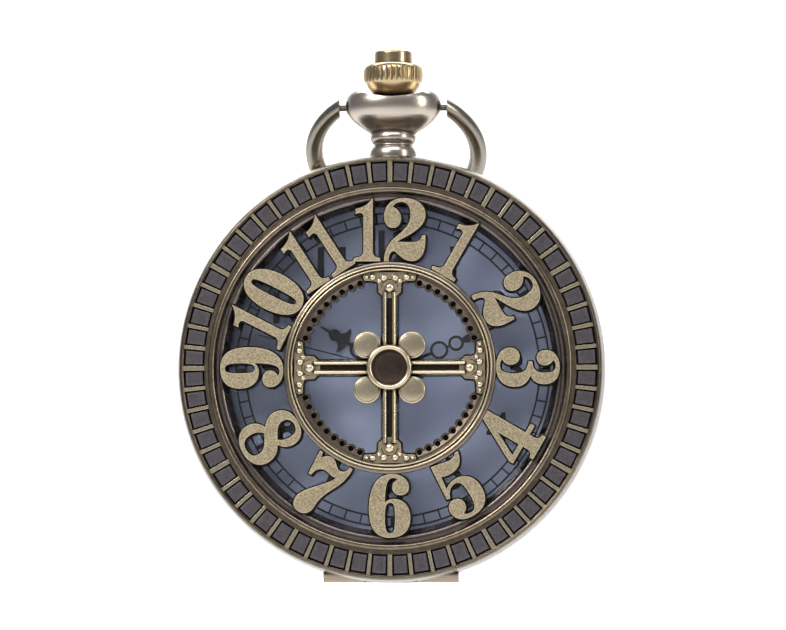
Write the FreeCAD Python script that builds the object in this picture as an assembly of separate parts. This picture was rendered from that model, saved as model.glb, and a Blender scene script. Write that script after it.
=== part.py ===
import FreeCAD, Part
import math
import os
from FreeCAD import Placement, Rotation, Vector

# Hunter-cased quartz pocket watch with an openwork numeral cover.
# Built lying on its back: x towards 3 o'clock, y towards 12, z towards the reader, z = 0 at the back.
# Every piece is stood upright just before it is written: 12 o'clock becomes +Z, the dial faces -Y.

# Case
CASE_R = 23.5            # outside radius of the 47 mm case
BAND_EDGE_R = 23.2       # band radius at its two edges
BAND_IN_R = 21.2
BACK_T = 2.8             # height of the snap-on back
BAND_TOP = 9.9
LIP_Z = 8.4              # underside of the bezel lip
GLASS_R = 19.1
GLASS_SEAT_Z = 9.35
GASKET_R = 19.3
BEZEL_R = 18.6

# Dial side
DIAL_R = 19.4
DIAL_Z = 7.3
DIAL_T = 0.4

# Pendant, crown and bow share one axis height
STEM_Z = 6.4
PIN_Y = 29.15            # bow pivot above the watch centre
BOW_R = 9.2              # centre line of the bow wire
BOW_DROP = 7.02          # pivot to the centre of the bow circle
BOW_END_X = 5.95
BOW_TILT = 50            # the bow lies folded back by this angle
JUMP_R = 3.3
BULB_DEPTH = 0.74        # the bulb is flattened front to back by this factor
SADDLE_R, SADDLE_Y = 9.7, 30.03

# Hinge at 6 o'clock
HINGE_Y, HINGE_Z = -22.45, 9.95
KNUCKLE_R, HINGE_PIN_R = 0.95, 0.4
HINGE_HALF = 7.4
KNUCKLE_HALF = 2.95

# Cover
COVER_Z = 10.0
RIM_TOP = 12.75
COVER_IN_R = 17.75
BORDER_IN, BORDER_OUT = 20.3, 22.6
PANEL_DEG = 5.0          # width of each of the 60 border panels, at a 6 degree pitch
NUMERAL_H = 6.9
NUMERAL_R = 15.05        # radius of the numeral centres
NUMERAL_Z0, NUMERAL_STEP_Z, NUMERAL_Z1 = 11.3, 12.7, 13.2
RING_OUT_R, RING_IN_R = 11.6, 9.58
SPOKE_W = 2.0
LOBE_R = 3.45            # radius of the circle the four hub lobes stand on

# Movement
MOVEMENT_R = 10.4
BRIDGE_Z = 3.2
PLATE_Z, PLATE_TOP = 5.2, 5.8
THIRD_POS = (-2.876, -1.047)
INTER_POS = (-0.625, 3.545)
ROTOR_POS = (-2.807, 4.805)
MINUTE_POS = (1.44, 2.494)
SETTING_POS = (0.0, 5.53)
LEVER_POS = (2.9, 9.3)
BATTERY_POS = (5.846, -3.375)
BATTERY_R = 3.4

UP = Vector(0, 0, 1)


# ---------------------------------------------------------------- helpers
def wire(drawing, place):
    """Closed wire from a drawing: M start, L straight line, C curve with two handles."""
    words, edges, here, k = drawing.split(), [], None, 0
    while k < len(words):
        count = {"M": 2, "L": 2, "C": 6}[words[k]]
        n = [float(v) for v in words[k + 1:k + 1 + count]]
        points = [place(n[i], n[i + 1]) for i in range(0, count, 2)]
        if words[k] == "L" and here.distanceToPoint(points[0]) > 1e-7:
            edges.append(Part.LineSegment(here, points[0]).toShape())
        if words[k] == "C":
            curve = Part.BezierCurve()
            curve.setPoles([here] + points)
            edges.append(curve.toShape())
        here = points[-1]
        start = here if words[k] == "M" else start
        k += count + 1
    if here.distanceToPoint(start) > 1e-7:
        edges.append(Part.LineSegment(here, start).toShape())
    return Part.Wire(edges)


def lathe(drawing):
    """Solid of revolution about the z axis from a drawing in (radius, height)."""
    return Part.Face(wire(drawing, lambda r, h: Vector(r, 0, h))).revolve(Vector(), UP, 360)


def lathe_y(drawing):
    """Solid of revolution about the stem axis from a drawing in (radius, distance from centre)."""
    face = Part.Face(wire(drawing, lambda r, h: Vector(r, h, STEM_Z)))
    return face.revolve(Vector(0, 0, STEM_Z), Vector(0, 1, 0), 360)


def flat(drawings, z0, z1, scale=1.0):
    """Plate from an outline and its holes."""
    place = lambda x, y: Vector(x * scale, y * scale, z0)
    body = Part.Face(wire(drawings[0], place)).extrude(Vector(0, 0, z1 - z0))
    for hole in drawings[1:]:
        body = body.cut(Part.Face(wire(hole, place)).extrude(Vector(0, 0, z1 - z0)))
    return body


def disc(r, z0, z1, at=(0, 0)):
    return Part.makeCylinder(r, z1 - z0, Vector(at[0], at[1], z0))


def ring(r_out, r_in, z0, z1, at=(0, 0)):
    return disc(r_out, z0, z1, at).cut(disc(r_in, z0, z1, at))


def box(x0, x1, y0, y1, z0, z1):
    return Part.makeBox(x1 - x0, y1 - y0, z1 - z0, Vector(x0, y0, z0))


def rod_x(r, x0, x1, y, z):
    return Part.makeCylinder(r, x1 - x0, Vector(x0, y, z), Vector(1, 0, 0))


def rod_y(r, y0, y1):
    return Part.makeCylinder(r, y1 - y0, Vector(0, y0, STEM_Z), Vector(0, 1, 0))


def sector(r_out, r_in, middle, width, z0, z1):
    """Piece of a flat ring, centred on an angle clockwise from 12 o'clock, in degrees."""
    piece = Part.makeCylinder(r_out, z1 - z0, Vector(0, 0, z0), UP, width)
    piece = piece.cut(disc(r_in, z0, z1))
    return turned(piece, 90 - middle - width / 2)


def turned(shape, degrees, axis=UP, at=Vector()):
    copy = shape.copy()
    copy.rotate(at, axis, degrees)
    return copy


def moved(shape, x, y, z=0):
    copy = shape.copy()
    copy.translate(Vector(x, y, z))
    return copy


def join(shapes):
    return shapes[0].multiFuse(shapes[1:]).removeSplitter()


def dome(r, z, height, at):
    """Round boss with a domed top, rising from z."""
    ball_r = (r * r + height * height) / (2 * height)
    ball = Part.makeSphere(ball_r, Vector(at[0], at[1], z + height - ball_r))
    return ball.common(disc(r, z - 0.2, z + height + 1, at))


def skirted(body, z0, z1, flare):
    """Flat body on a wider, lower step that follows its outline."""
    underside = min(body.Faces, key=lambda f: f.CenterOfMass.z)
    step = underside.makeOffset2D(flare).toNurbs().extrude(Vector(0, 0, z1 - z0))
    return moved(step, 0, 0, z0 - underside.CenterOfMass.z).fuse(body)


def polar(r, degrees):
    """Point at a radius and an angle clockwise from 12 o'clock."""
    a = math.radians(degrees)
    return r * math.sin(a), r * math.cos(a)


def gear(teeth, module, z0, z1, at=(0, 0), first=0.0):
    """Spur wheel; the first tooth points at an angle counter-clockwise from +x."""
    pitch_r, step = teeth * module / 2, 2 * math.pi / teeth
    corners = []
    for t in range(teeth):
        middle = math.radians(first) + t * step
        for share, r in ((-0.29, pitch_r - 1.15 * module), (-0.22, pitch_r), (-0.10, pitch_r + 0.85 * module),
                         (0.10, pitch_r + 0.85 * module), (0.22, pitch_r), (0.29, pitch_r - 1.15 * module)):
            a = middle + share * step
            corners.append(Vector(at[0] + r * math.cos(a), at[1] + r * math.sin(a), z0))
    return Part.Face(Part.makePolygon(corners + corners[:1])).extrude(Vector(0, 0, z1 - z0))


def wheel(teeth, module, z0, z1, at=(0, 0), first=0.0, spokes=4):
    """Spur wheel with its web crossed out, leaving spokes."""
    body = gear(teeth, module, z0, z1, at, first)
    r_out, r_in = teeth * module / 2 - 0.35, 0.62
    window = sector(r_out, r_in, 0, 360 / spokes - 24, z0, z1)
    cuts = [moved(turned(window, k * 360 / spokes), at[0], at[1]) for k in range(spokes)]
    return body.cut(cuts)


def heading(a, b):
    """Angle of b seen from a, counter-clockwise from +x."""
    return math.degrees(math.atan2(b[1] - a[1], b[0] - a[0]))


def screw(at, z_head, up=True, r=0.55, length=1.2):
    """Cheese-head screw with a slot; the head's seat is at z_head."""
    s = 1 if up else -1
    head = disc(r, min(z_head, z_head + 0.3 * s), max(z_head, z_head + 0.3 * s), at)
    shank = disc(r * 0.5, min(z_head, z_head - length * s), max(z_head, z_head - length * s), at)
    z_slot = z_head + 0.17 * s
    slot = box(at[0] - r, at[0] + r, at[1] - 0.07, at[1] + 0.07, min(z_slot, z_slot + s), max(z_slot, z_slot + s))
    return head.fuse(shank).cut(slot)


pieces = {}

# ---------------------------------------------------------------- case
BACK_LIP_R = BAND_IN_R - 0.05
case_back = lathe(f"M 0 0 L 15 0 C 20.5 0 22.7 0.5 {BAND_EDGE_R} {BACK_T} L {BACK_LIP_R} {BACK_T}"
                  f" L {BACK_LIP_R} 3.6 L 20.4 3.6 L 20.4 2.2 C 20.4 1.6 20 1.2 19 1.2 L 0 1.2")
opener = box(-1.5, 1.5, -24, -22.3, 2.3, BACK_T)
pieces["case_back"] = case_back.cut(turned(opener, 40))

band = lathe(f"M {BAND_IN_R} {BACK_T} L {BAND_EDGE_R} {BACK_T} C 23.6 4.5 23.6 8.0 {BAND_EDGE_R} 9.6"
             f" C 23.16 9.8 23.05 {BAND_TOP} 22.9 {BAND_TOP} L {GASKET_R} {BAND_TOP} L {GASKET_R} {GLASS_SEAT_Z}"
             f" L {BEZEL_R} {GLASS_SEAT_Z} L {BEZEL_R} {LIP_Z} L {BAND_IN_R} {LIP_Z}")
hinge_relief = rod_x(1.6, -HINGE_HALF - 0.1, HINGE_HALF + 0.1, HINGE_Y, HINGE_Z)
case_knuckles = []
for side in (-1, 1):
    x0, x1 = sorted((side * KNUCKLE_HALF, side * HINGE_HALF))
    case_knuckles += [rod_x(KNUCKLE_R, x0, x1, HINGE_Y, HINGE_Z),
                      box(x0, x1, HINGE_Y - KNUCKLE_R, HINGE_Y + 0.75, 8.0, HINGE_Z)]
pin_bore = rod_x(HINGE_PIN_R, -HINGE_HALF, HINGE_HALF, HINGE_Y, HINGE_Z)
catch_pocket = box(-1.65, 1.65, 19.45, 21.98, 4.9, BAND_TOP)
band = band.cut([hinge_relief, rod_y(2.0, 20, 24), catch_pocket]).fuse(case_knuckles).cut(pin_bore)
pieces["case_band"] = band.removeSplitter()
pieces["hinge_pin"] = rod_x(HINGE_PIN_R, -HINGE_HALF, HINGE_HALF, HINGE_Y, HINGE_Z)

# Glass, its gasket, and the flange ring that holds the dial down
pieces["crystal"] = lathe(f"M 0 {GLASS_SEAT_Z} L {GLASS_R} {GLASS_SEAT_Z} L {GLASS_R} 9.95"
                          f" C {GLASS_R} 10.2 18.9 10.25 18.6 10.28 C 12 10.5 6 10.6 0 10.6")
pieces["crystal_gasket"] = ring(GASKET_R, GLASS_R, GLASS_SEAT_Z, BAND_TOP)
pieces["flange_ring"] = lathe(f"M 18.35 {DIAL_Z + DIAL_T} L {DIAL_R} {DIAL_Z + DIAL_T} L {DIAL_R} {LIP_Z}"
                              f" L {BEZEL_R} {LIP_Z}")

# ---------------------------------------------------------------- pendant and bow
bulb = lathe_y("M 0 26.2 L 2.4 26.2 C 3.3 26.6 4.4 27.3 4.95 28.1 C 5.35 28.7 5.42 29.5 5.25 30.1"
               " C 5.05 30.9 4.3 31.2 3.6 31.1 C 3.0 31.0 2.4 30.9 1.6 30.9 L 0 30.9")
flatten = FreeCAD.Matrix()
flatten.A33, flatten.A34 = BULB_DEPTH, STEM_Z * (1 - BULB_DEPTH)
bulb = bulb.transformGeometry(flatten)
neck = lathe_y("M 0 22 L 2 22 L 2 23.1 L 2.5 23.1 C 2.75 23.8 2.65 24.5 2.3 24.82 C 2.15 24.95 2.15 25.05 2.3 25.15"
               " C 2.7 25.5 2.7 26.1 2.3 26.4 C 2.1 26.6 1.9 26.8 1.7 26.9 L 0 26.9")
neck = neck.cut(disc(CASE_R, -1, 14).cut(rod_y(2.0, 21, 24)))
saddle = Part.makeCylinder(SADDLE_R, 20, Vector(0, SADDLE_Y + SADDLE_R, -3))
crown_seat = lathe_y("M 0 30.15 L 1.8 30.15 C 2.5 30.4 3.0 31.0 3.35 31.8 L 3.35 33 L 0 33")
bores = [rod_y(1.5, 24.7, 32), rod_y(1.6, 21, 24.7), rod_x(0.39, -7, -4.0, PIN_Y, STEM_Z),
         rod_x(0.39, 4.0, 7, PIN_Y, STEM_Z)]
pieces["pendant"] = bulb.fuse(neck).cut([saddle, crown_seat, pieces["case_band"]] + bores)
pieces["stem_sleeve"] = rod_y(1.5, 24.7, 30.1).cut(rod_y(0.96, 24.7, 30.1))

sections = []
for k in range(-15, 16):
    a = math.radians(k * 10)
    radius = 1.075 - 0.19 * (k / 14) ** 2
    centre = Vector(BOW_R * math.sin(a), -BOW_DROP - BOW_R * math.cos(a), 0)
    along = Vector(math.cos(a), math.sin(a), 0)
    sections.append(Part.Wire(Part.makeCircle(radius, centre, along)))
bow = Part.makeLoft(sections, True, False)
bow = bow.cut(box(-BOW_END_X, BOW_END_X, -3, 4, -3, 3))
bow_holes = [rod_x(0.35, BOW_END_X - 1, 6.9, 0, 0), rod_x(0.35, -6.9, 1 - BOW_END_X, 0, 0)]
fold = Placement(Vector(0, PIN_Y, STEM_Z), Rotation(Vector(1, 0, 0), BOW_TILT))
pieces["bow"] = bow.cut(bow_holes)
pieces["bow"].Placement = fold
pins = [rod_x(0.35, side * 5.55 - 1.35, side * 5.55 + 1.35, PIN_Y, STEM_Z) for side in (-1, 1)]
pieces["bow_pins"] = Part.makeCompound(pins)

link_s = 11.43           # distance along the bow, from its pivot, where the jump ring hangs
link_x = -math.sqrt(BOW_R ** 2 - (link_s - BOW_DROP) ** 2)
link_at = fold.multVec(Vector(link_x, -link_s, 0))
pieces["jump_ring"] = Part.makeTorus(JUMP_R, 0.32, link_at, Vector(0.348, -0.90, 0.25))

# ---------------------------------------------------------------- crown, stem and release button
crown = lathe_y("M 0.9 30.35 L 1.7 30.35 C 2.3 30.6 2.75 31.1 3.1 31.75 C 3.3 32.1 3.3 32.5 3.3 32.9"
                " C 3.3 33.5 3.15 33.75 2.9 33.9 L 2.2 33.9 L 2.2 31.9 L 0.9 31.9")
flute = rod_y(0.19, 31.6, 34.2)
flute.translate(Vector(3.36, 0, 0))
flutes = [turned(flute, k * 10, Vector(0, 1, 0), Vector(0, 0, STEM_Z)) for k in range(36)]
pieces["crown"] = crown.cut(flutes)
stem = join([rod_y(0.45, 7.1, 20.5), rod_y(0.9, 20.5, 31.5)])
groove = rod_y(0.9, 8.65, 9.35).cut(rod_y(0.28, 8.65, 9.35))
pieces["stem"] = stem.cut([groove, rod_y(0.45, 21.3, 31.5), box(-1, 1, 21.9, 23.5, STEM_Z - 0.25, STEM_Z + 0.25)])
pieces["button"] = lathe_y("M 0 33.4 L 2.14 33.4 L 2.14 35.15 C 2.14 35.35 2.0 35.42 1.85 35.45"
                           " L 1.45 35.6 C 1.0 35.75 0.5 35.8 0 35.8").cut(rod_y(0.4, 33.4, 34.2))
pieces["push_rod"] = rod_y(0.4, 22.7, 34.2).cut(rod_x(0.2, -1, 1, 23.1, STEM_Z))
pieces["release_pin"] = rod_x(0.2, -1.3, 1.3, 23.1, STEM_Z)
pieces["push_collar"] = rod_y(1.5, 21.92, 22.9).cut(rod_y(0.95, 21.9, 22.9))
turns = []
for k in range(45):
    a = math.radians(18 * k)
    at = Vector(1.3 * math.cos(a), 32.05 + 1.2 * k / 44, STEM_Z + 1.3 * math.sin(a))
    along = Vector(-math.sin(a), 0.067, math.cos(a))
    turns.append(Part.Wire(Part.makeCircle(0.13, at, along)))
pieces["button_spring"] = Part.makeLoft(turns, True, False)
pieces["sliding_pinion"] = join([
    rod_y(0.8, 7.15, 7.55), rod_y(0.55, 7.55, 7.9), rod_y(0.8, 7.9, 8.4)]).cut(rod_y(0.47, 7, 9))
tooth_gap = box(0.55, 0.9, 6.9, 7.3, STEM_Z - 0.08, STEM_Z + 0.08)
gaps = [turned(tooth_gap, k * 30, Vector(0, 1, 0), Vector(0, 0, STEM_Z)) for k in range(12)]
pieces["sliding_pinion"] = pieces["sliding_pinion"].cut(gaps)

# Catch that holds the cover shut: a tab the collar pushes, and a nose through the bezel
catch = join([box(-1.6, 1.6, 21.25, 21.88, 5.0, 8.6), box(-1.6, 1.6, 20.45, 21.88, 8.0, 8.9),
              box(-1.2, 1.2, 20.45, 21.14, 8.6, 10.7)])
nose_bevel = turned(box(-2, 2, 0, 2, -1, 1), 45, Vector(1, 0, 0))
catch = catch.cut([moved(nose_bevel, 0, 20.95, 10.95), box(-1.0, 1.0, 21, 22, 4.9, 7.5)])
pieces["catch"] = catch

# ---------------------------------------------------------------- dial and hands
dial = disc(DIAL_R, DIAL_Z, DIAL_Z + DIAL_T).cut(disc(1.05, DIAL_Z, DIAL_Z + DIAL_T))
feet = [disc(0.35, PLATE_TOP + 0.6, DIAL_Z, polar(8.6, a)) for a in (95, 275)]
pieces["dial"] = join([dial] + feet)


def hand(outlines, z0, thickness, heading_deg, bore, boss):
    body = join([flat([o], z0, z0 + thickness) for o in outlines] + [disc(boss, z0, z0 + thickness)])
    body = body.cut(disc(bore, z0, z0 + thickness))
    return turned(body, -heading_deg)


def leaf(r0, r1, half, back=0.35):
    """Slim leaf along the hand from r0 to r1, widest near its root end."""
    m = r0 + (r1 - r0) * back
    return f"M 0 {r0} C {half} {r0 + 0.1} {half} {m} {half * 0.6} {m + 0.3} L 0 {r1}" \
           f" L {-half * 0.6} {m + 0.3} C {-half} {m} {-half} {r0 + 0.1} 0 {r0}"


def strip(r0, r1, half0, half1):
    return f"M {-half0} {r0} L {half0} {r0} L {half1} {r1} L {-half1} {r1}"


cross_leaf = "M 0 5.5 C 0.5 5.9 1.3 5.7 1.5 6.3 C 1.0 6.3 0.7 6.5 0.5 6.9 C 0.7 7.3 0.8 7.7 0 8.2" \
             " C -0.8 7.7 -0.7 7.3 -0.5 6.9 C -0.7 6.5 -1.0 6.3 -1.5 6.3 C -1.3 5.7 -0.5 5.9 0 5.5"
hour_loop = ring(1.0, 0.72, 8.0, 8.2, (0, 4.3))
hour_hand = hand([strip(0, 3.45, 0.3, 0.18), strip(5.1, 5.9, 0.2, 0.2), cross_leaf, strip(7.8, 9.2, 0.22, 0.06)],
                 8.0, 0.2, 301, 0.95, 1.35)
pieces["hour_hand"] = hour_hand.fuse(turned(hour_loop, -301)).removeSplitter()
minute_loops = [ring(1.0, 0.72, 8.45, 8.65, (0, 5.6)), ring(0.85, 0.58, 8.45, 8.65, (0, 7.6))]
minute_hand = hand([strip(0, 4.75, 0.26, 0.16), strip(6.45, 6.9, 0.14, 0.14), leaf(8.3, 11.2, 0.5),
                    strip(10.4, 14.4, 0.16, 0.05)], 8.45, 0.2, 68, 0.58, 1.1)
pieces["minute_hand"] = minute_hand.fuse([turned(loop, -68) for loop in minute_loops]).removeSplitter()
pieces["second_hand"] = hand([strip(-3.6, 0, 0.16, 0.09), strip(0, 15.2, 0.09, 0.04)], 8.92, 0.14, 284.5, 0.2, 0.62)

# ---------------------------------------------------------------- movement
plate = disc(MOVEMENT_R, PLATE_Z, PLATE_TOP)
plate_cuts = [disc(BATTERY_R + 0.05, PLATE_Z, PLATE_TOP, BATTERY_POS), disc(0.47, PLATE_Z, PLATE_TOP),
              box(-0.95, 0.95, 6.9, 11, 5.5, 6)]
plate_cuts += [disc(0.14, PLATE_Z, PLATE_Z + 0.4, p) for p in (THIRD_POS, INTER_POS, ROTOR_POS)]
studs = [disc(0.25, PLATE_TOP, 6.75, MINUTE_POS), disc(0.3, PLATE_TOP, 6.4, SETTING_POS),
         disc(0.35, PLATE_TOP, 6.7, LEVER_POS)]
PILLARS = [polar(9.3, a) for a in (20, 165, 215, 325)]
studs += [disc(0.8, BRIDGE_Z + 0.4, PLATE_Z, p) for p in PILLARS]
foot_holes = [disc(0.35, PLATE_TOP, 6.4, polar(8.6, a)) for a in (95, 275)]
studs += [disc(0.7, PLATE_TOP, 6.7, polar(8.6, a)).cut(disc(0.35, PLATE_TOP, 6.7, polar(8.6, a))) for a in (95, 275)]
plate = join([plate.cut(plate_cuts)] + studs)
for p in PILLARS:
    plate = plate.cut(disc(0.275, BRIDGE_Z + 0.4, BRIDGE_Z + 1.3, p))
pieces["main_plate"] = plate.removeSplitter()

bridge = disc(MOVEMENT_R, BRIDGE_Z, BRIDGE_Z + 0.4)
board_zone = box(-11, 11, -11, -4.6, BRIDGE_Z, BRIDGE_Z + 0.4)
battery_zone = disc(BATTERY_R + 0.1, BRIDGE_Z, BRIDGE_Z + 0.4, BATTERY_POS)
corner_zone = box(1.6, 11, -11, 0.6, BRIDGE_Z, BRIDGE_Z + 0.4)
pivots = [disc(0.14, BRIDGE_Z, BRIDGE_Z + 0.4, p) for p in (THIRD_POS, INTER_POS, ROTOR_POS, (0, 0))]
holes = [disc(0.3, BRIDGE_Z, BRIDGE_Z + 0.4, p) for p in PILLARS]
pieces["train_bridge"] = bridge.cut([board_zone, corner_zone, battery_zone] + pivots + holes)
pieces["train_bridge"] = pieces["train_bridge"].Solids[0]
board = disc(MOVEMENT_R, BRIDGE_Z, BRIDGE_Z + 0.3).common(box(-11, 11, -11, -4.8, BRIDGE_Z, BRIDGE_Z + 0.3))
board = board.cut([battery_zone] + holes)
pieces["circuit_board"] = max(board.Solids, key=lambda s: s.Volume)
pieces["circuit_chip"] = box(-2.2, 0.2, -7.6, -5.4, BRIDGE_Z + 0.3, BRIDGE_Z + 0.9)
pieces["quartz_can"] = rod_x(0.7, -4.0, 1.5, -8.7, BRIDGE_Z + 1.02)
top_screws = [screw(p, BRIDGE_Z, up=False, r=0.55, length=1.3) for p in PILLARS]
pieces["bridge_screws"] = Part.makeCompound(top_screws)

# Stepping motor: coil on its core, stator legs around the magnet rotor
coil_at = (-7.7, 1.4)
core = join([box(-8.0, -7.4, -3.9, 6.1, 4.15, 4.65), box(-8.3, -7.0, 4.9, 6.1, 4.15, 4.65),
             box(-8.3, -7.0, -3.9, -2.4, 4.15, 4.65)])
pieces["coil_core"] = core
coil = Part.makeCylinder(0.78, 6.9, Vector(coil_at[0], -2.2, 4.4), Vector(0, 1, 0))
pieces["coil"] = coil.cut(core)
stator = flat(["M -8.3 4.9 L -5.0 4.9 L -4.3 3.9 L -6.2 2.2 L -6.2 -2.4 L -8.3 -2.4 L -8.3 -3.9 L -5.0 -3.9"
               " L -5.0 1.6 L -3.2 3.3 L -1.3 3.6 L -1.0 5.6 L -2.4 6.1 L -8.3 6.1"], 3.75, 4.15)
pieces["stator"] = stator.cut(disc(0.95, 3.7, 4.2, ROTOR_POS))
rotor = join([disc(0.75, 3.72, 4.25, ROTOR_POS), gear(8, 0.09, 4.3, 4.8, ROTOR_POS, heading(ROTOR_POS, INTER_POS)),
              disc(0.2, 4.2, 4.85, ROTOR_POS), disc(0.12, BRIDGE_Z + 0.05, 5.55, ROTOR_POS)])
pieces["rotor"] = rotor

# Going train. Each pair is phased so that a tooth faces a gap.
toward_rotor = heading(INTER_POS, ROTOR_POS)
toward_centre = heading(INTER_POS, (0, 0))
pieces["intermediate_wheel"] = join([
    wheel(48, 0.09, 4.45, 4.65, INTER_POS, toward_rotor + 180 / 48),
    disc(0.62, 4.45, 4.65, INTER_POS), gear(12, 0.10, 3.8, 4.2, INTER_POS, toward_centre),
    disc(0.3, 4.2, 4.45, INTER_POS), disc(0.12, BRIDGE_Z + 0.05, 5.55, INTER_POS)])
pieces["seconds_wheel"] = join([
    wheel(60, 0.10, 3.9, 4.1, (0, 0), heading((0, 0), INTER_POS) + 3), disc(0.62, 3.9, 4.1),
    gear(8, 0.09, 4.1, 4.5, (0, 0), heading((0, 0), THIRD_POS)), disc(0.12, BRIDGE_Z + 0.05, 3.9), disc(0.2, 4.5, 9.1)])
pieces["third_wheel"] = join([
    wheel(60, 0.09, 4.2, 4.4, THIRD_POS, heading(THIRD_POS, (0, 0)) + 3), disc(0.62, 4.2, 4.4, THIRD_POS),
    gear(8, 0.085, 4.4, 5.0, THIRD_POS, heading(THIRD_POS, (0, 0))), disc(0.12, BRIDGE_Z + 0.05, 5.55, THIRD_POS)])
tube_bore = disc(0.24, 4.5, 9.2)
pieces["centre_wheel"] = join([
    wheel(64, 0.085, 4.7, 4.9, (0, 0), heading((0, 0), THIRD_POS) + 180 / 64), disc(0.62, 4.7, 4.9),
    disc(0.42, 4.7, 6.6)]).cut(tube_bore)
cannon = join([gear(12, 0.12, 5.85, 6.15, (0, 0), heading((0, 0), MINUTE_POS)), disc(0.58, 5.85, 8.75)])
pieces["cannon_pinion"] = cannon.cut([disc(0.42, 5.8, 6.6), disc(0.26, 6.6, 9)])
toward_axis = heading(MINUTE_POS, (0, 0))
pieces["minute_wheel"] = join([
    wheel(36, 0.12, 5.9, 6.1, MINUTE_POS, toward_axis + 5), disc(0.62, 5.9, 6.1, MINUTE_POS),
    gear(10, 0.1152, 6.1, 6.55, MINUTE_POS, toward_axis)]).cut(disc(0.28, 5.8, 6.7, MINUTE_POS))
pieces["hour_wheel"] = join([
    wheel(40, 0.1152, 6.3, 6.5, (0, 0), heading((0, 0), MINUTE_POS) + 4.5), disc(1.1, 6.3, 6.5),
    disc(0.95, 6.3, 8.25)]).cut(disc(0.62, 6.2, 8.3))
setting_phase = heading(SETTING_POS, MINUTE_POS)
minute_share = (heading(MINUTE_POS, SETTING_POS) - (toward_axis + 5)) / 10 % 1
pieces["setting_wheel"] = gear(20, 0.12, 5.9, 6.1, SETTING_POS,
                               setting_phase + (0.5 - minute_share) * -18).cut(disc(0.33, 5.8, 6.2, SETTING_POS))
lever_arm = flat(["M 0.34 8.85 L 0.34 9.15 L 1.2 9.3 L 2.5 9.75 L 3.2 9.7 L 3.4 9.2 L 4.8 7.6 L 4.5 7.4 L 3.1 8.7"
                  " L 2.4 9.0 L 1.2 8.85"], 6.25, 6.5)
pieces["setting_lever"] = join([lever_arm, disc(0.62, 6.25, 6.5, LEVER_POS)]).cut(disc(0.38, 6.2, 6.6, LEVER_POS))

# Button cell with its clamp
pieces["battery"] = join([disc(BATTERY_R, 3.3, 5.4, BATTERY_POS), disc(2.7, 5.4, 5.75, BATTERY_POS)])
clamp = flat(["M 1.6 -4.2 L 9.2 -4.2 L 9.9 -2.0 L 9.2 -1.9 L 2.4 -2.6 L 1.6 -2.9"], 3.05, 3.3)
pieces["battery_clamp"] = clamp.common(disc(MOVEMENT_R, 3, 3.4))

# Plastic ring that centres the movement in the wide case
holder = ring(21.05, MOVEMENT_R + 0.05, 3.6, DIAL_Z)
inside = ring(20.2, MOVEMENT_R + 1.2, 3.6, DIAL_Z - 1.0)
ribs = [sector(20.2, MOVEMENT_R + 1.2, a, 4, 3.6, DIAL_Z - 1.0) for a in range(15, 360, 30)]
inside = inside.cut(ribs)
holder = holder.cut([inside, box(-1.0, 1.0, 9, 22, 5.3, 7.5), box(-1.75, 1.75, 19.3, 22, 3, 9)])
pieces["movement_holder"] = max(holder.Solids, key=lambda s: s.Volume)

# ---------------------------------------------------------------- cover
rim = lathe(f"M {COVER_IN_R} 10.85 L {BAND_IN_R} 10.85 L {BAND_IN_R} {COVER_Z} L 23.3 {COVER_Z}"
            f" C 23.5 10.3 23.5 11.0 23.25 11.9 C 23.15 12.6 23.0 13.0 22.8 13.0"
            f" C 22.7 13.0 22.65 12.9 {BORDER_OUT} {RIM_TOP} L 19.9 {RIM_TOP}"
            f" C 19.88 13.28 19.18 13.28 19.14 {RIM_TOP} L 19.0 12.4 L 18.75 12.4"
            f" C 18.6 12.75 18.35 12.6 18.2 12.3 L {COVER_IN_R} 11.5")
panels = []
for k in range(60):
    # ribs beside the hours are a little wider, so their panels give way by half of it
    lean = {0: 0.15, 4: -0.15}.get(k % 5, 0)
    middle, width = k * 6 + 3 + lean / 2, PANEL_DEG - abs(lean)
    pocket = sector(BORDER_OUT, BORDER_IN, middle, width, RIM_TOP - 0.45, 14)
    pad = sector(BORDER_OUT - 0.22, BORDER_IN + 0.22, middle, width - 1.1, RIM_TOP - 0.5, RIM_TOP - 0.2)
    panels.append(pocket.cut(pad))
rim = rim.cut(panels)
rim = rim.cut(hinge_relief)
cover_knuckle = [rod_x(KNUCKLE_R, -KNUCKLE_HALF + 0.05, KNUCKLE_HALF - 0.05, HINGE_Y, HINGE_Z),
                 box(-KNUCKLE_HALF + 0.05, KNUCKLE_HALF - 0.05, HINGE_Y, -20.7, COVER_Z, 10.9)]
rim = rim.fuse(cover_knuckle).cut(rod_x(HINGE_PIN_R + 0.03, -4, 4, HINGE_Y, HINGE_Z))
pieces["cover_rim"] = rim.removeSplitter()

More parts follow.
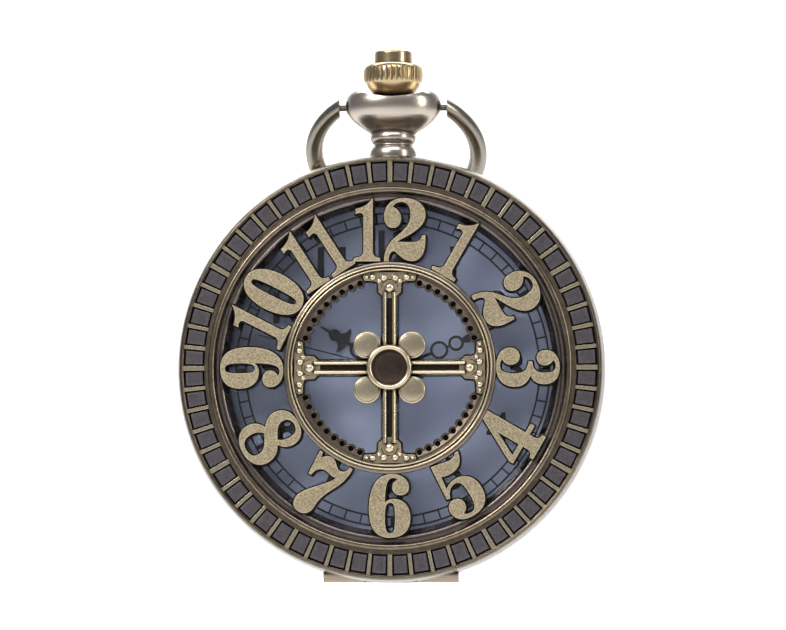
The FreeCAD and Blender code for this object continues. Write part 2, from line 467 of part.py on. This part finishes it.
# Numerals: each digit is drawn 100 units high; the first entry is its width in millimetres
DIGITS = {
    "0": (4.15, ["M 30 0 C 52 0 60 26 60 50 C 60 74 52 100 30 100 C 8 100 0 74 0 50 C 0 26 8 0 30 0",
                 "M 30 10 C 36 10 37 22 37 50 C 37 78 36 90 30 90 C 24 90 23 78 23 50 C 23 22 24 10 30 10"]),
    "1": (2.85, ["M 0 0 L 46 0 L 46 5 C 38 6 34 9 33 15 L 33 100 C 27 91 17 85 3 83 L 3 75"
                 " C 9 78 15 78 17 72 L 17 15 C 16 9 10 6 0 5 L 0 0"]),
    "2": (4.5, ["M 2 0 L 8 0 C 8 9 11 19 17 15 C 24 9 29 0 40 0 C 49 0 55 9 57 20 C 58 27 58 33 58 41"
                " L 54 41 C 53 34 49 30 41 30 C 32 29 24 32 18 29 C 22 34 32 38 42 46 C 52 54 58 62 58 74"
                " C 58 90 45 100 28 100 C 12 100 2 86 2 71 C 2 60 7 53 14 53 C 21 53 25 60 25 68"
                " C 25 77 20 83 14 86 C 16 91 20 94 26 94 C 34 94 38 86 38 74 C 38 58 30 49 20 40"
                " C 8 30 2 16 2 0"]),
    "3": (4.25, ["M 30 0 C 50 0 62 11 62 29 C 62 43 55 50 44 54 C 54 58 58 66 58 76 C 58 91 48 100 31 100"
                 " C 14 100 4 90 4 78 C 4 70 9 64 16 64 C 23 64 28 70 28 77 C 28 83 25 87 20 90"
                 " C 22 93 26 94 30 94 C 37 94 40 88 40 76 C 40 64 36 58 22 57 L 22 51"
                 " C 36 50 41 43 41 29 C 41 13 37 6 29 6 C 25 6 21 7 18 10 C 24 12 27 17 27 23"
                 " C 27 31 22 37 14 37 C 6 37 0 31 0 22 C 0 9 12 0 30 0"]),
    "4": (4.7, ["M 20 0 L 58 0 L 58 6 C 52 7 49 10 49 16 L 49 24 L 64 24 L 64 31 L 49 31 L 49 100 L 35 100"
                " L 0 31 L 0 24 L 29 24 L 29 16 C 29 10 26 7 20 6 L 20 0",
                "M 10 31 L 29 31 L 29 70 L 10 31"]),
    "5": (4.3, ["M 27 0 C 47 0 58 12 58 32 C 58 52 47 64 31 64 C 22 64 16 61 12 56 L 14 78"
                " C 22 74 30 74 38 76 C 47 79 52 87 54 100 L 49 100 C 46 95 42 93 35 94 C 27 95 18 98 8 99"
                " L 5 42 L 10 42 C 13 52 19 58 27 58 C 35 58 38 49 38 32 C 38 15 35 6 26 6 C 21 6 18 8 16 11"
                " C 22 13 25 18 25 24 C 25 31 20 37 13 37 C 5 37 0 31 0 23 C 0 9 10 0 27 0"]),
    "6": (4.5, ["M 30 0 C 50 0 60 12 60 31 C 60 50 50 61 36 61 C 30 61 26 58 23 54 C 23 80 26 94 35 94"
                " C 38 94 40 93 42 91 C 37 89 34 85 34 79 C 34 72 39 67 46 67 C 53 67 58 72 58 79"
                " C 58 91 48 100 34 100 C 10 100 0 76 0 45 C 0 16 10 0 30 0",
                "M 31 7 C 37 7 38 14 38 31 C 38 48 37 55 31 55 C 25 55 23 48 23 31 C 23 14 25 7 31 7"]),
    "7": (4.1, ["M 20 0 C 31 0 37 9 37 20 C 37 38 46 52 53 66 C 58 76 60 86 60 100 L 55 100"
                " C 54 92 50 88 44 88 C 36 88 32 100 22 100 C 14 100 11 94 8 91 L 6 100 L 1 100 L 3 60 L 8 60"
                " C 9 70 14 77 24 77 C 32 77 38 72 45 76 C 40 64 28 54 18 42 C 8 30 4 24 4 15 C 4 6 10 0 20 0"]),
    "8": (4.6, ["M 31 0 C 50 0 62 11 62 27 C 62 40 56 48 46 54 C 54 59 58 66 58 76 C 58 91 48 100 32 100"
                " C 15 100 3 91 3 75 C 3 64 7 57 15 51 C 5 45 0 38 0 27 C 0 11 12 0 31 0",
                "M 29 7 C 19 7 14 14 14 25 C 14 34 17 40 22 45 C 35 38 45 32 45 20 C 45 12 40 7 29 7",
                "M 33 93 C 43 93 46 86 46 76 C 46 68 44 62 40 58 C 30 64 20 68 20 80 C 20 88 25 93 33 93"]),
}


def digit(character):
    """Solid digit standing on the x axis, left side at x = 0, and its width."""
    width, drawings = DIGITS["6" if character == "9" else character]
    body = flat(drawings, NUMERAL_STEP_Z - 0.2, NUMERAL_Z1, NUMERAL_H / 100)
    span = body.BoundBox
    stretch = FreeCAD.Matrix()
    stretch.A11 = width / span.XLength
    stretch.A14 = -span.XMin * stretch.A11
    body = body.transformGeometry(stretch)
    if character == "9":
        body = moved(turned(body, 180), width, NUMERAL_H)
    return skirted(body, NUMERAL_Z0, NUMERAL_STEP_Z, 0.18), width


numerals = []
for hour in range(1, 13):
    solids, x = [], 0
    for character in str(hour):
        body, width = digit(character)
        solids.append(moved(body, x, -NUMERAL_H / 2))
        x += width + 0.45
    middle = (x - 0.45) / 2
    upright = hour in (9, 10, 11, 12, 1, 2, 3)
    place_deg = hour * 30 + {10: -3, 11: -3}.get(hour, 0)
    spot = polar(NUMERAL_R, place_deg)
    for body in solids:
        body = turned(moved(body, -middle, 0), -place_deg + (0 if upright else 180))
        numerals.append(moved(body, spot[0], spot[1]))

# Inner ring: two fine ridges, then a band whose inner edge is scalloped, one blind hole to a scallop
SCALLOP_R = 9.77
inner = lathe(f"M {RING_IN_R} 11.7 L {RING_OUT_R} 11.7 L {RING_OUT_R} 13.1 C 11.55 13.25 11.4 13.3 11.25 13.3"
              f" C 11.2 13.3 11.2 13.6 11.05 13.6 C 10.95 13.6 10.93 13.4 10.88 13.4 C 10.83 13.4 10.8 13.6 10.7 13.6"
              f" C 10.58 13.6 10.55 13.1 10.45 12.95 L 10.2 12.95 L {RING_IN_R} 12.8")
scallop_spots = [polar(SCALLOP_R, quarter * 90 + 45 + k * 6.4) for quarter in range(4) for k in range(-4, 5)]
inner = inner.fuse([disc(0.53, 11.7, 12.85, at) for at in scallop_spots])
inner = inner.cut([disc(0.31, 12.1, 14, at) for at in scallop_spots])

# Cross: spokes with two rounded rails, a capital where each meets the ring, and a quatrefoil hub
half = SPOKE_W / 2
spoke_section = wire(f"M {-half} 12.35 L {half} 12.35 L {half - 0.12} 13.0 C {half - 0.18} 13.4 0.62 13.6 0.5 13.6"
                     f" C 0.36 13.6 0.24 13.4 0.2 13.0 L -0.2 13.0 C -0.24 13.4 -0.36 13.6 -0.5 13.6"
                     f" C -0.62 13.6 {0.18 - half} 13.4 {0.12 - half} 13.0", lambda x, z: Vector(x, 1.5, z))
spoke = Part.Face(spoke_section).extrude(Vector(0, 6.7, 0))
capital = flat(["M -0.76 7.6 L 0.76 7.6 C 0.8 7.95 1.1 8.05 1.22 8.3 L 1.25 9.0 C 1.3 9.3 1.5 9.42 1.75 9.44"
                " L 2.75 9.5 L 2.9 9.95 L 2.5 10.4 L -2.5 10.4 L -2.9 9.95 L -2.75 9.5 L -1.75 9.44"
                " C -1.5 9.42 -1.3 9.3 -1.25 9.0 L -1.22 8.3 C -1.1 8.05 -0.8 7.95 -0.76 7.6"], 12.8, 13.2)
capital = skirted(capital, 12.0, 13.0, 0.2)
boss_at = (0, 8.72)
arc_line = ring(0.92, 0.82, 13.08, 14, boss_at).cut(box(-2, 2, 7, 8.72, 13, 14))
arm = [spoke, capital.cut(arc_line), dome(0.6, 13.15, 0.5, boss_at)]
for side in (-1, 1):
    arm += [dome(0.42, 13.15, 0.4, (side * 0.62, 9.78)), dome(0.3, 13.15, 0.3, (side * 1.12, 9.45)),
            dome(0.4, 13.15, 0.35, (side * 1.85, 9.85)), dome(0.24, 13.15, 0.25, (side * 2.5, 9.85))]
arm = join(arm)
hub = lathe("M 0 12.1 L 2.5 12.1 L 2.5 13.6 C 2.5 14.0 2.4 14.2 2.2 14.2 C 2.05 14.2 1.92 14.1 1.88 13.9"
            " L 1.88 13.5 C 1.2 13.6 0.6 13.62 0 13.62")
recess = lathe("M 0 13.62 C 0.6 13.62 1.2 13.6 1.88 13.5 L 1.88 15 L 0 15")
lobe = lathe("M 0 12.3 L 1.5 12.3 L 1.5 13.3 C 1.5 13.5 1.4 13.55 1.28 13.55 L 1.22 13.75 C 0.8 13.82 0.4 13.84 0 13.84")
lobes = [moved(lobe, *polar(LOBE_R, a)) for a in (45, 135, 225, 315)]
spoke_set = [turned(arm, k * 90) for k in range(4)]
cross = join(spoke_set + [hub] + lobes).cut(recess)
pieces["cover_inner_ring"] = inner.cut([turned(capital, k * 90) for k in range(4)])
pieces["cover_cross"] = cross.cut(pieces["cover_inner_ring"])
trimmed = [body.cut([pieces["cover_rim"], inner]) for body in numerals]
pieces["cover_numerals"] = Part.makeCompound([max(t.Solids, key=lambda s: s.Volume) for t in trimmed])

# ---------------------------------------------------------------- write
os.makedirs("parts", exist_ok=True)
upright = Placement(Vector(), Rotation(Vector(1, 0, 0), 90))
for name, shape in pieces.items():
    shape = shape.copy()
    shape.Placement = upright.multiply(shape.Placement)
    if len(shape.Solids) == 1:
        shape = shape.Solids[0]
    shape.exportStep(f"parts/{name}.step")
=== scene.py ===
import math

import bpy
from mathutils import Matrix, Vector


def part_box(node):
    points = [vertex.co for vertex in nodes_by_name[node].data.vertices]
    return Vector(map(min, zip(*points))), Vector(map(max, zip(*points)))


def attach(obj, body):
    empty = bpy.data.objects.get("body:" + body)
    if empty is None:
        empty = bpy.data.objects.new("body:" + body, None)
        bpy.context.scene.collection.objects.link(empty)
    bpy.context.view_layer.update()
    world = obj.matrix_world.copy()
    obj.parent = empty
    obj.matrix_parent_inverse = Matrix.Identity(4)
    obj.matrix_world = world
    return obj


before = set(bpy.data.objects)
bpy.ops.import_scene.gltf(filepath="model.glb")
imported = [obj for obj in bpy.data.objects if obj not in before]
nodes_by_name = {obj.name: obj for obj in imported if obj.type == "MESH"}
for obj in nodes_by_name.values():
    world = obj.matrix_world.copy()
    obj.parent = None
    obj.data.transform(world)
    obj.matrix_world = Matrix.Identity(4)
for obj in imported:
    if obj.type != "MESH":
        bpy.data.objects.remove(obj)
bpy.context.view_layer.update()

MM = 0.001


# ------------------------------------------------------------------ node helpers
class Graph:
    """Small builder for one material's node tree."""

    def __init__(self, name):
        self.material = bpy.data.materials.new(name)
        self.material.use_nodes = True
        self.tree = self.material.node_tree
        self.tree.nodes.clear()
        self.shader = self.add("ShaderNodeBsdfPrincipled")
        out = self.add("ShaderNodeOutputMaterial")
        self.link(self.shader.outputs[0], out.inputs["Surface"])
        self.coords = self.add("ShaderNodeTexCoord").outputs["Object"]

    def add(self, kind, **settings):
        node = self.tree.nodes.new(kind)
        for key, value in settings.items():
            setattr(node, key, value)
        return node

    def link(self, a, b):
        self.tree.links.new(a, b)

    def put(self, socket, value):
        if hasattr(value, "is_output"):
            self.link(value, socket)
        else:
            socket.default_value = value

    def math(self, operation, a, b=0.0, clamp=False):
        node = self.add("ShaderNodeMath", operation=operation, use_clamp=clamp)
        for socket, value in zip(node.inputs, (a, b)):
            self.put(socket, value)
        return node.outputs[0]

    def noise(self, size_mm, detail=3.0, roughness=0.55):
        """Noise with features about size_mm across, 0 to 1."""
        node = self.add("ShaderNodeTexNoise")
        self.link(self.coords, node.inputs["Vector"])
        node.inputs["Scale"].default_value = 1.0 / (size_mm * MM)
        node.inputs["Detail"].default_value = detail
        node.inputs["Roughness"].default_value = roughness
        return node.outputs["Fac"]

    def ramp(self, value, stops):
        """Colour ramp: stops are (position, grey or colour)."""
        node = self.add("ShaderNodeValToRGB")
        elements = node.color_ramp.elements
        while len(elements) < len(stops):
            elements.new(0.5)
        for element, (position, colour) in zip(elements, stops):
            element.position = position
            grey = isinstance(colour, (int, float))
            element.color = (colour, colour, colour, 1) if grey else (*colour, 1)
        self.put(node.inputs[0], value)
        return node.outputs[0]

    def mix(self, factor, a, b, blend="MIX"):
        node = self.add("ShaderNodeMix", data_type="RGBA", blend_type=blend)
        self.put(node.inputs[0], factor)
        for socket, value in ((node.inputs[6], a), (node.inputs[7], b)):
            self.put(socket, value if hasattr(value, "is_output") else (*value, 1))
        return node.outputs[2]

    def crevice(self, distance_mm, samples=8, inside=False):
        """1 on open faces and 0 deep in corners; with inside, 0 on sharp outer edges."""
        node = self.add("ShaderNodeAmbientOcclusion", samples=samples, inside=inside)
        node.inputs["Distance"].default_value = distance_mm * MM
        return node.outputs["AO"]

    def axis(self, index):
        """One coordinate of the surface point, in metres."""
        node = self.add("ShaderNodeSeparateXYZ")
        self.link(self.coords, node.inputs[0])
        return node.outputs[index]

    def facing(self):
        """1 where the surface faces the reader of the dial, 0 on side walls."""
        node = self.add("ShaderNodeSeparateXYZ")
        self.link(self.add("ShaderNodeTexCoord").outputs["Normal"], node.inputs[0])
        return self.math("MULTIPLY", node.outputs[1], -1.0, clamp=True)

    def radius(self):
        """Distance from the watch's centre line, in metres."""
        x, z = self.axis(0), self.axis(2)
        return self.math("SQRT", self.math("ADD", self.math("MULTIPLY", x, x), self.math("MULTIPLY", z, z)))

    def bump(self, height, strength=0.3, distance_mm=0.03, soft_edge_mm=0.0):
        node = self.add("ShaderNodeBump")
        if soft_edge_mm:
            edge = self.add("ShaderNodeBevel", samples=4)
            edge.inputs["Radius"].default_value = soft_edge_mm * MM
            self.link(edge.outputs[0], node.inputs["Normal"])
        node.inputs["Strength"].default_value = strength
        node.inputs["Distance"].default_value = distance_mm * MM
        self.put(node.inputs["Height"], height)
        self.link(node.outputs[0], self.shader.inputs["Normal"])

    def set(self, **values):
        """Give the shader's sockets values or links, by name with _ for each space."""
        for key, value in values.items():
            socket = self.shader.inputs[key.replace("_", " ")]
            if isinstance(value, tuple) and len(value) == 3:
                value = (*value, 1)
            self.put(socket, value)


def patinated(name, bright, middle, dark, grain=0.25, rough=(0.28, 0.5), reach=0.7, edge=0.35):
    """Antique plated metal: polished high spots, dark patina in the recesses, fine grain, and sharp outer
    edges lightened as rubbed wear plus a painted edge highlight.
    """
    g = Graph(name)
    g.set(Metallic=1.0)
    wear = worn(g, reach)
    tone = g.ramp(wear, [(0.3, dark), (0.66, middle), (0.95, bright)])
    # Sharp outer edges are lightened towards the bright tone: rubbed wear plus a painted edge highlight;
    # edge sets how strong.
    rubbed_edge_and_highlight = g.ramp(g.crevice(0.14, 6, inside=True), [(0.45, 1.0), (0.8, 0.0)])
    tone = g.mix(g.math("MULTIPLY", rubbed_edge_and_highlight, edge), tone, bright)
    g.set(Base_Color=tone, Roughness=g.ramp(wear, [(0.3, rough[1]), (0.95, rough[0])]))
    g.bump(g.math("ADD", g.noise(0.09, 2), g.math("MULTIPLY", g.noise(0.5, 4), 0.8)), grain, 0.02, 0.06)
    return g


def worn(g, reach=0.6):
    """0 in crevices to 1 on open, rubbed faces, broken up by blotches and fine grain."""
    blotch, fine = g.noise(3.2, 5, 0.62), g.noise(0.2, 3, 0.6)
    wear = g.math("ADD", g.crevice(reach, 8), g.math("MULTIPLY", g.math("SUBTRACT", blotch, 0.5), 0.34))
    return g.math("ADD", wear, g.math("MULTIPLY", g.math("SUBTRACT", fine, 0.5), 0.24))


gunmetal = patinated("gunmetal", (0.46, 0.41, 0.36), (0.27, 0.245, 0.225), (0.03, 0.027, 0.028),
                     0.12, (0.26, 0.42))
bow_metal = patinated("bow_metal", (0.24, 0.22, 0.19), (0.12, 0.11, 0.10), (0.02, 0.018, 0.018),
                      0.12, (0.26, 0.42))
bronze = patinated("aged_bronze", (0.44, 0.34, 0.20), (0.22, 0.16, 0.085), (0.02, 0.014, 0.01),
                   0.15, (0.24, 0.4), 0.5)
case_metal = patinated("case_metal", (0.24, 0.20, 0.15), (0.11, 0.09, 0.068), (0.018, 0.015, 0.013), 0.15)
steel = patinated("ground_steel", (0.62, 0.62, 0.64), (0.5, 0.5, 0.52), (0.2, 0.2, 0.21), 0.1, (0.25, 0.35))
nickel = patinated("nickel_plate", (0.70, 0.68, 0.63), (0.6, 0.58, 0.54), (0.3, 0.29, 0.27),
                   0.1, (0.25, 0.35))
train = patinated("train_brass", (0.86, 0.68, 0.36), (0.7, 0.53, 0.26), (0.3, 0.2, 0.08), 0.1, (0.22, 0.35))

BRIGHT, MIDDLE, DARK = (0.56, 0.48, 0.34), (0.25, 0.205, 0.15), (0.02, 0.016, 0.014)


def cover_metal(name, zones):
    """Antique brass cover; each zone is (radii, heights, colour a, colour b), and tints what lies in it."""
    g = Graph(name)
    g.set(Metallic=1.0)
    wear = worn(g)
    tone = g.ramp(wear, [(0.28, DARK), (0.62, MIDDLE), (0.95, BRIGHT)])
    # Sharp outer edges are lightened towards pale brass: rubbed wear plus a painted edge highlight.
    rubbed_edge_and_highlight = g.ramp(g.crevice(0.14, 6, inside=True), [(0.45, 1.0), (0.8, 0.0)])
    tone = g.mix(g.math("MULTIPLY", rubbed_edge_and_highlight, 0.5), tone, (0.74, 0.66, 0.48))
    radius, height = g.math("MULTIPLY", g.radius(), 1000.0), g.math("MULTIPLY", g.axis(1), -1000.0)
    mottle = g.noise(0.7, 4, 0.6)
    for (r0, r1), (h0, h1), a, b in zones:
        mask = g.math("MULTIPLY", g.math("GREATER_THAN", radius, r0), g.math("LESS_THAN", radius, r1))
        mask = g.math("MULTIPLY", mask, g.math("GREATER_THAN", height, h0))
        mask = g.math("MULTIPLY", mask, g.math("LESS_THAN", height, h1))
        tone = g.mix(mask, tone, g.mix(mottle, a, b))
    shade = g.ramp(g.crevice(0.35, 8), [(0.25, 0.12), (0.8, 1.0)])
    g.set(Base_Color=g.mix(1.0, tone, shade, "MULTIPLY"), Roughness=g.ramp(wear, [(0.3, 0.5), (0.95, 0.27)]))
    g.bump(g.math("ADD", g.noise(0.09, 2), g.math("MULTIPLY", g.noise(0.5, 4), 0.8)), 0.22, 0.02, 0.07)
    return g


rim_brass = cover_metal("rim_brass", [
    ((20.2, 22.7), (12.42, 12.7), (0.13, 0.115, 0.13), (0.28, 0.255, 0.275)),
    # Painted shade: the deep groove round the pads is coloured near black.
    ((20.2, 22.7), (11.0, 12.42), (0.008, 0.007, 0.007), (0.03, 0.025, 0.025)),
    ((19.1, 20.32), (12.6, 13.6), (0.07, 0.056, 0.043), (0.26, 0.21, 0.155)),
    ((22.65, 24.0), (9.0, 13.6), (0.055, 0.045, 0.036), (0.17, 0.14, 0.105)),
    ((17.0, 19.1), (10.0, 12.8), (0.10, 0.083, 0.078), (0.22, 0.185, 0.17))])
ring_brass = cover_metal("ring_brass", [
    ((9.0, 10.5), (12.5, 13.1), (0.10, 0.08, 0.065), (0.22, 0.175, 0.135)),
    # Painted shade: everything on the ring lower than its face is coloured near black.
    ((9.0, 12.0), (11.0, 12.5), (0.012, 0.01, 0.008), (0.05, 0.04, 0.034)),
    ((11.2, 12.0), (12.5, 13.4), (0.13, 0.105, 0.085), (0.26, 0.215, 0.17))])
cross_brass = cover_metal("cross_brass", [
    ((0.0, 1.87), (13.3, 14.0), (0.05, 0.036, 0.028), (0.14, 0.105, 0.085)),
    # Painted shade: the spokes' side walls below their tops are coloured near black.
    ((2.5, 12.0), (11.0, 13.12), (0.012, 0.01, 0.009), (0.06, 0.047, 0.04))])


def numeral_metal():
    """Numerals: pale polished grainy faces, painted shade (near black) down the side walls and on the lower
    step, and a painted highlight along the top edges.
    """
    g = Graph("numeral_brass")
    g.set(Metallic=1.0)
    high = g.math("GREATER_THAN", g.math("MULTIPLY", g.axis(1), -1.0), 13.12 * MM)
    top = g.math("MULTIPLY", g.ramp(g.facing(), [(0.35, 0.0), (0.8, 1.0)]), high)
    grains, blotch = g.noise(0.13, 2, 0.5), g.noise(2.4, 4, 0.6)
    face = g.mix(g.ramp(grains, [(0.36, 0.0), (0.62, 1.0)]), (0.36, 0.28, 0.165), (0.82, 0.70, 0.48))
    face = g.mix(g.math("MULTIPLY", blotch, 0.5), face, (0.46, 0.385, 0.26))
    # Painted shade: side walls and the lower step, picked out by facing direction and height, are near
    # black.
    wall_shade = g.mix(blotch, (0.008, 0.006, 0.006), (0.045, 0.035, 0.03))
    # Painted highlight: the sharp top edges are lightened towards pale gold.
    edge = g.ramp(g.crevice(0.13, 6, inside=True), [(0.5, 1.0), (0.85, 0.0)])
    face = g.mix(g.math("MULTIPLY", edge, 0.8), face, (0.90, 0.82, 0.62))
    g.set(Base_Color=g.mix(top, wall_shade, face), Roughness=g.ramp(top, [(0.0, 0.55), (1.0, 0.34)]))
    g.bump(g.math("ADD", grains, g.math("MULTIPLY", g.noise(0.5, 3), 0.5)), 0.6, 0.03, 0.06)
    return g


def dial_lacquer():
    g = Graph("dial_lacquer")
    cloud = g.noise(9.0, 3)
    g.set(Base_Color=g.mix(cloud, (0.46, 0.53, 0.78), (0.62, 0.69, 0.92)))
    g.set(Roughness=g.ramp(g.noise(0.3, 3), [(0.3, 0.3), (0.7, 0.42)]))
    g.bump(g.noise(0.12, 3), 0.08, 0.01)
    return g


def plain(name, a, b, rough=0.5, metallic=0.0, size=0.6, bump=0.1):
    g = Graph(name)
    g.set(Metallic=metallic)
    g.set(Base_Color=g.mix(g.noise(size, 4), a, b))
    g.set(Roughness=g.ramp(g.noise(size * 0.5, 3), [(0.3, max(rough - 0.08, 0.05)), (0.7, rough + 0.08)]))
    g.bump(g.noise(size * 0.4, 3), bump, 0.02)
    return g


def glass():
    g = Graph("mineral_glass")
    g.set(Base_Color=(0.97, 0.98, 1.0), Transmission_Weight=1.0, IOR=1.45)
    g.set(Roughness=g.ramp(g.noise(2.5, 4), [(0.4, 0.0), (0.8, 0.012)]))
    return g


ink = plain("black_ink", (0.006, 0.006, 0.008), (0.014, 0.014, 0.018), 0.6, size=0.3)
hands_black = plain("blued_black", (0.006, 0.006, 0.009), (0.014, 0.014, 0.018), 0.45, 0.0, 0.5, 0.05)
looks = {
    "cover_rim": rim_brass, "cover_numerals": numeral_metal(), "crystal": glass(), "dial": dial_lacquer(),
    "case_band": case_metal, "case_back": case_metal,
    "cover_inner_ring": ring_brass, "cover_cross": cross_brass,
    "flange_ring": plain("satin_white", (0.42, 0.44, 0.52), (0.52, 0.53, 0.60), 0.4),
    "movement_holder": plain("moulded_white", (0.70, 0.70, 0.67), (0.78, 0.78, 0.75), 0.5),
    "circuit_board": plain("solder_mask", (0.02, 0.12, 0.05), (0.03, 0.17, 0.07), 0.3),
    "circuit_chip": plain("black_resin", (0.012, 0.012, 0.012), (0.03, 0.03, 0.03), 0.5),
    "crystal_gasket": plain("black_gasket", (0.012, 0.012, 0.012), (0.03, 0.03, 0.03), 0.5),
    "coil": plain("enamelled_copper", (0.30, 0.09, 0.03), (0.45, 0.16, 0.05), 0.3, 0.6),
    "rotor": plain("magnet_steel", (0.2, 0.2, 0.21), (0.3, 0.3, 0.32), 0.35, 1.0),
}
looks["pendant"] = gunmetal
looks["bow"] = looks["bow_pins"] = bow_metal
for name in ("crown", "button", "jump_ring"):
    looks[name] = bronze
for name in ("main_plate", "train_bridge"):
    looks[name] = nickel
for name in ("intermediate_wheel", "seconds_wheel", "third_wheel", "centre_wheel", "cannon_pinion",
             "minute_wheel", "hour_wheel", "setting_wheel"):
    looks[name] = train
for name in ("hour_hand", "minute_hand", "second_hand"):
    looks[name] = hands_black

for name, obj in nodes_by_name.items():
    look = looks.get(name, steel)
    obj.data.materials.clear()
    obj.data.materials.append(look.material)


# ------------------------------------------------------------------ dial print
DIAL_FACE_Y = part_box("dial")[0][1]
INK_RISE = 0.02 * MM
TRACK_IN_R, TRACK_OUT_R, TRACK_LINE = 16.15, 17.25, 0.2    # minute track, in mm
HOUR_R, HOUR_SIZE = 13.4, 4.8                              # printed hour numbers, in mm
HOUR_TICK, MINUTE_TICK = 0.7, 0.3                          # half widths of the track's marks, in degrees


def polar(r_mm, degrees):
    a = math.radians(degrees)
    return r_mm * MM * math.sin(a), r_mm * MM * math.cos(a)


def printed(name, faces):
    """Thin raised ink on the dial from flat outlines in (x, z)."""
    vertices, polygons = [], []
    for outline in faces:
        start, n = len(vertices), len(outline)
        vertices += [(x, DIAL_FACE_Y, z) for x, z in outline]
        vertices += [(x, DIAL_FACE_Y - INK_RISE, z) for x, z in outline]
        polygons.append([start + n + k for k in range(n)])
        for k in range(n):
            j = (k + 1) % n
            polygons.append([start + k, start + j, start + n + j, start + n + k])
    mesh = bpy.data.meshes.new(name)
    mesh.from_pydata(vertices, [], polygons)
    mesh.validate()
    obj = bpy.data.objects.new(name, mesh)
    bpy.context.scene.collection.objects.link(obj)
    mesh.materials.append(ink.material)
    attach(obj, "case")
    return obj


def arc_band(r0, r1, a0, a1, steps):
    outer = [polar(r1, a0 + (a1 - a0) * k / steps) for k in range(steps + 1)]
    inner = [polar(r0, a0 + (a1 - a0) * k / steps) for k in range(steps + 1)]
    return outer + inner[::-1]


track = []
edge = TRACK_LINE / 2
for k in range(60):
    start = k * 6
    track.append(arc_band(TRACK_OUT_R - edge, TRACK_OUT_R + edge, start, start + 6, 4))
    track.append(arc_band(TRACK_IN_R - edge, TRACK_IN_R + edge, start, start + 6, 4))
    tick = HOUR_TICK if k % 5 == 0 else MINUTE_TICK
    track.append(arc_band(TRACK_IN_R + edge, TRACK_OUT_R - edge, start - tick, start + tick, 2))
printed("minute_track", track)

for hour in range(1, 13):
    text = bpy.data.curves.new(f"dial_numeral_{hour}", "FONT")
    text.body = str(hour)
    text.size = HOUR_SIZE * MM
    text.align_x = "CENTER"
    text.align_y = "CENTER"
    text.extrude = INK_RISE / 2
    text.offset = 0.12 * MM
    obj = bpy.data.objects.new(f"dial_numeral_{hour}", text)
    bpy.context.scene.collection.objects.link(obj)
    x, z = polar(HOUR_R, hour * 30)
    upright = Matrix.Rotation(math.pi / 2, 4, "X")
    obj.matrix_world = Matrix.Translation((x, DIAL_FACE_Y - INK_RISE / 2, z)) @ upright
    text.materials.append(ink.material)
    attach(obj, "case")

# ------------------------------------------------------------------ stage, lights, camera
FLOOR_Z, BACK_Y, BEND = -0.20, 0.9, 0.35       # floor, back wall and the radius that joins them
SWEEP_HALF, SWEEP_TOP, BEND_STEPS = 3.0, 2.5, 16
profile = [(-SWEEP_HALF, FLOOR_Z), (BACK_Y - BEND, FLOOR_Z)]
for k in range(1, BEND_STEPS + 1):
    a = math.pi / 2 * k / BEND_STEPS
    profile.append((BACK_Y - BEND + BEND * math.sin(a), FLOOR_Z + BEND * (1 - math.cos(a))))
profile.append((BACK_Y, SWEEP_TOP))
verts = [(x, y, z) for y, z in profile for x in (-SWEEP_HALF, SWEEP_HALF)]
faces = [(2 * k, 2 * k + 1, 2 * k + 3, 2 * k + 2) for k in range(len(profile) - 1)]
mesh = bpy.data.meshes.new("studio_sweep")
mesh.from_pydata(verts, [], faces)
for polygon in mesh.polygons:
    polygon.use_smooth = True
sweep = bpy.data.objects.new("studio_sweep", mesh)
bpy.context.scene.collection.objects.link(sweep)
sweep_look = Graph("studio_white")
paper = sweep_look.mix(sweep_look.noise(400, 2), (0.88, 0.88, 0.88), (0.92, 0.92, 0.92))
sweep_look.set(Base_Color=paper, Roughness=0.7)
mesh.materials.append(sweep_look.material)

world = bpy.data.worlds.new("studio")
bpy.context.scene.world = world
world.use_nodes = True
background = world.node_tree.nodes["Background"]
background.inputs["Color"].default_value = (0.95, 0.97, 1.0, 1)
background.inputs["Strength"].default_value = 0.28


def softbox(name, position, target, size, watts, colour=(1, 1, 1)):
    light = bpy.data.lights.new(name, "AREA")
    light.shape = "RECTANGLE"
    light.size, light.size_y = size
    light.energy = watts
    light.color = colour
    obj = bpy.data.objects.new(name, light)
    obj.location = position
    obj.rotation_euler = (Vector(target) - Vector(position)).to_track_quat("-Z", "Y").to_euler()
    bpy.context.scene.collection.objects.link(obj)
    return obj


WATCH = (0, -0.007, 0.005)
softbox("key", (-0.5, -0.7, 0.5), WATCH, (0.4, 0.3), 6.8, (1.0, 0.97, 0.93))
softbox("front", (0.1, -0.75, 0.75), WATCH, (0.8, 0.3), 5.2, (0.98, 0.99, 1.0))
softbox("side", (0.75, -0.45, 0.2), WATCH, (0.15, 0.5), 2.6, (1.0, 0.95, 0.86))
softbox("backdrop", (0.0, 0.3, 0.75), (0, 0.9, 0.0), (1.2, 0.4), 17.0)

AZIMUTH, ELEVATION, DISTANCE = math.radians(3.5), math.radians(-3.5), 0.45
VIEW_WIDTH = 0.0868       # what the frame takes in at the target
camera_data = bpy.data.cameras.new("camera")
camera_data.sensor_width = 36.0
camera_data.lens = camera_data.sensor_width * DISTANCE / VIEW_WIDTH
camera_data.clip_start, camera_data.clip_end = 0.01, 20
camera = bpy.data.objects.new("camera", camera_data)
target = Vector((0.0, -0.007, 0.0061))
direction = Vector((math.sin(AZIMUTH) * math.cos(ELEVATION), -math.cos(AZIMUTH) * math.cos(ELEVATION),
                    math.sin(ELEVATION)))
camera.location = target + direction * DISTANCE
camera.rotation_euler = (-direction).to_track_quat("-Z", "Y").to_euler()
bpy.context.scene.collection.objects.link(camera)
bpy.context.scene.camera = camera
bpy.context.scene.view_settings.view_transform = "Standard"
